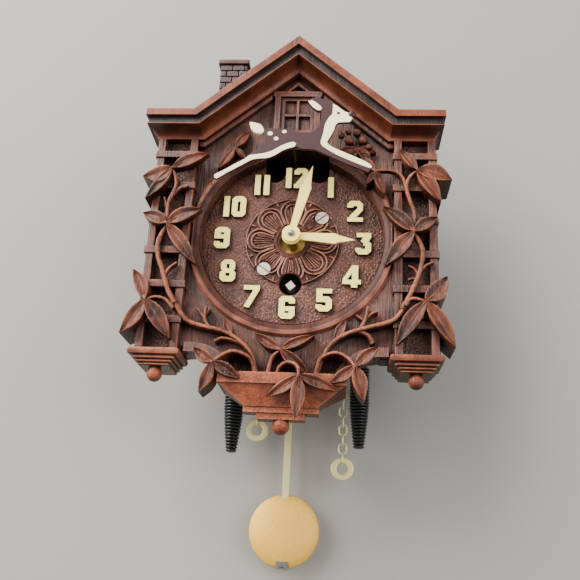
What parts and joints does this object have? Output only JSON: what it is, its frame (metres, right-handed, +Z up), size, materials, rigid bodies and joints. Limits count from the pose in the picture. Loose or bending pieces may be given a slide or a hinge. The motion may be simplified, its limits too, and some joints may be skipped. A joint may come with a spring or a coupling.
{
  "type": "cuckoo-style wall clock",
  "caption": "Small cuckoo-style wall clock: moulded gabled front with vines, raised numerals, spring movement, short pendulum, rocking deer, dummy weights and pull chains.",
  "frame": {"origin": "centre of the keyhole's round entry in the hanger plate, on the wall plane", "axes": "+Y into the wall, +X to the viewer's right, +Z up"},
  "size_m": [0.1225, 0.0571, 0.2081],
  "materials": {
    "panel_wood": "moulded wood composition, brown stain, satin",
    "box_wood": "thin unfinished board",
    "board": "pressed board",
    "steel": "plain",
    "brass": "plain",
    "roof_wood": "moulded wood composition, orange-brown stain, satin",
    "leaf_wood": "moulded wood composition, highlights rubbed",
    "numeral_paint": "cream",
    "hand_paint": "cream enamel",
    "nickel": "nickelled",
    "deer_paint": "maroon and cream paint",
    "gold_paint": "fine granular gold paint",
    "black_paint": "satin black"
  },
  "bodies": {
    "case": {"front_panel": "panel_wood", "case_box": "box_wood", "back_cover": "board", "hanger_plate": "steel", "cover_screws": "brass", "panel_screws": "brass", "roof_moulding": "roof_wood", "chimney": "panel_wood", "gable_window": "panel_wood", "berry_sprig": "leaf_wood", "trellis": "panel_wood", "feet": "roof_wood", "bracket": "roof_wood", "vine_left": "leaf_wood", "vine_right": "leaf_wood", "bracket_leaves": "leaf_wood", "dial_ring": "panel_wood", "rosette": "panel_wood", "numerals": "numeral_paint", "dial_screws": "nickel", "front_plate": "brass", "back_plate": "brass", "pillars": "brass", "pendulum_cock": "brass", "mainspring": "steel", "case_hooks": "brass"},
    "great": {"great_wheel": "brass", "click_spring": "steel"},
    "click": {"click": "steel"},
    "winding": {"winding_arbor": "steel", "ratchet_wheel": "brass"},
    "centre": {"centre_arbor": "steel", "centre_wheel": "brass"},
    "third": {"third_arbor": "steel", "third_wheel": "brass"},
    "fourth": {"fourth_arbor": "steel", "fourth_wheel": "brass"},
    "escape": {"escape_arbor": "steel", "escape_wheel": "brass"},
    "minute": {"minute_hand": "hand_paint", "hand_nut": "nickel", "cannon_pinion": "brass"},
    "motion": {"minute_wheel": "brass"},
    "hour": {"hour_hand": "hand_paint", "hour_wheel": "brass"},
    "pendulum": {"pendulum_rod": "brass"},
    "bob": {"pendulum_bob": "gold_paint", "bob_clip": "steel"},
    "rocker": {"verge": "steel", "verge_arbor": "steel", "pendulum_leader": "steel", "deer_arm": "steel", "deer": "deer_paint"},
    "chain_l": {"chain_left": "brass", "ring_left": "brass"},
    "chain_r": {"chain_right": "brass", "ring_right": "brass"},
    "weight_l": {"weight_left": "black_paint"},
    "weight_r": {"weight_right": "black_paint"}
  },
  "joints": [
    {"name": "centre_turn", "type": "hinge", "parent": "case", "child": "centre", "pos_m": [0, -0.018, -0.0365], "axis": [0, 1, 0], "continuous": true},
    {"name": "great_turn", "type": "hinge", "parent": "case", "child": "great", "pos_m": [0, -0.018, -0.0545], "axis": [0, 1, 0], "continuous": true},
    {"name": "third_turn", "type": "hinge", "parent": "case", "child": "third", "pos_m": [0.0063, -0.018, -0.02559], "axis": [0, 1, 0], "continuous": true},
    {"name": "fourth_turn", "type": "hinge", "parent": "case", "child": "fourth", "pos_m": [-0.00506, -0.018, -0.02254], "axis": [0, 1, 0], "continuous": true},
    {"name": "escape_turn", "type": "hinge", "parent": "case", "child": "escape", "pos_m": [0, -0.018, -0.01534], "axis": [0, 1, 0], "continuous": true},
    {"name": "winding_turn", "type": "hinge", "parent": "great", "child": "winding", "pos_m": [0, -0.018, -0.0545], "axis": [0, 1, 0], "continuous": true},
    {"name": "click_lift", "type": "hinge", "parent": "great", "child": "click", "pos_m": [0, -0.0212, -0.0459], "axis": [0, -1, 0], "range_deg": [0, 18], "stiffness_Nm_per_rad": 0.00004, "springref_deg": -5.73},
    {"name": "minute_turn", "type": "hinge", "parent": "case", "child": "minute", "pos_m": [0, -0.033, -0.0365], "axis": [0, 1, 0], "continuous": true},
    {"name": "motion_turn", "type": "hinge", "parent": "case", "child": "motion", "pos_m": [-0.00693, -0.03, -0.0405], "axis": [0, 1, 0], "continuous": true},
    {"name": "hour_turn", "type": "hinge", "parent": "case", "child": "hour", "pos_m": [0, -0.033, -0.0365], "axis": [0, 1, 0], "continuous": true},
    {"name": "pendulum_swing", "type": "hinge", "parent": "case", "child": "pendulum", "pos_m": [0, -0.007, -0.0068], "axis": [0, 1, 0], "range_deg": [-6, 6]},
    {"name": "rocker_swing", "type": "hinge", "parent": "case", "child": "rocker", "pos_m": [0, -0.018, -0.0068], "axis": [0, 1, 0], "range_deg": [-6, 6]},
    {"name": "bob_slide", "type": "slide", "parent": "pendulum", "child": "bob", "axis": [0, 0, 1], "range_m": [-0.005, 0.006]},
    {"name": "chain_left_swing", "type": "hinge", "parent": "case", "child": "chain_l", "pos_m": [-0.0122, -0.011, -0.0837], "axis": [1, 0, 0], "range_deg": [-20, 3]},
    {"name": "chain_right_swing", "type": "hinge", "parent": "case", "child": "chain_r", "pos_m": [0.0218, -0.011, -0.0828], "axis": [1, 0, 0], "range_deg": [-20, 8]},
    {"name": "weight_left_swing", "type": "hinge", "parent": "case", "child": "weight_l", "pos_m": [-0.022, -0.011, -0.0818], "axis": [1, 0, 0], "range_deg": [-20, 8]},
    {"name": "weight_right_swing", "type": "hinge", "parent": "case", "child": "weight_r", "pos_m": [0.028, -0.011, -0.0786], "axis": [1, 0, 0], "range_deg": [-20, 8]}
  ],
  "couplings": [
    {"joint": "great_turn", "follows": "centre_turn", "ratio": -0.25},
    {"joint": "third_turn", "follows": "centre_turn", "ratio": -6},
    {"joint": "fourth_turn", "follows": "centre_turn", "ratio": 36},
    {"joint": "escape_turn", "follows": "centre_turn", "ratio": -162},
    {"joint": "motion_turn", "follows": "minute_turn", "ratio": -0.33333},
    {"joint": "hour_turn", "follows": "minute_turn", "ratio": 0.083333},
    {"joint": "rocker_swing", "follows": "pendulum_swing", "ratio": 1}
  ]
}
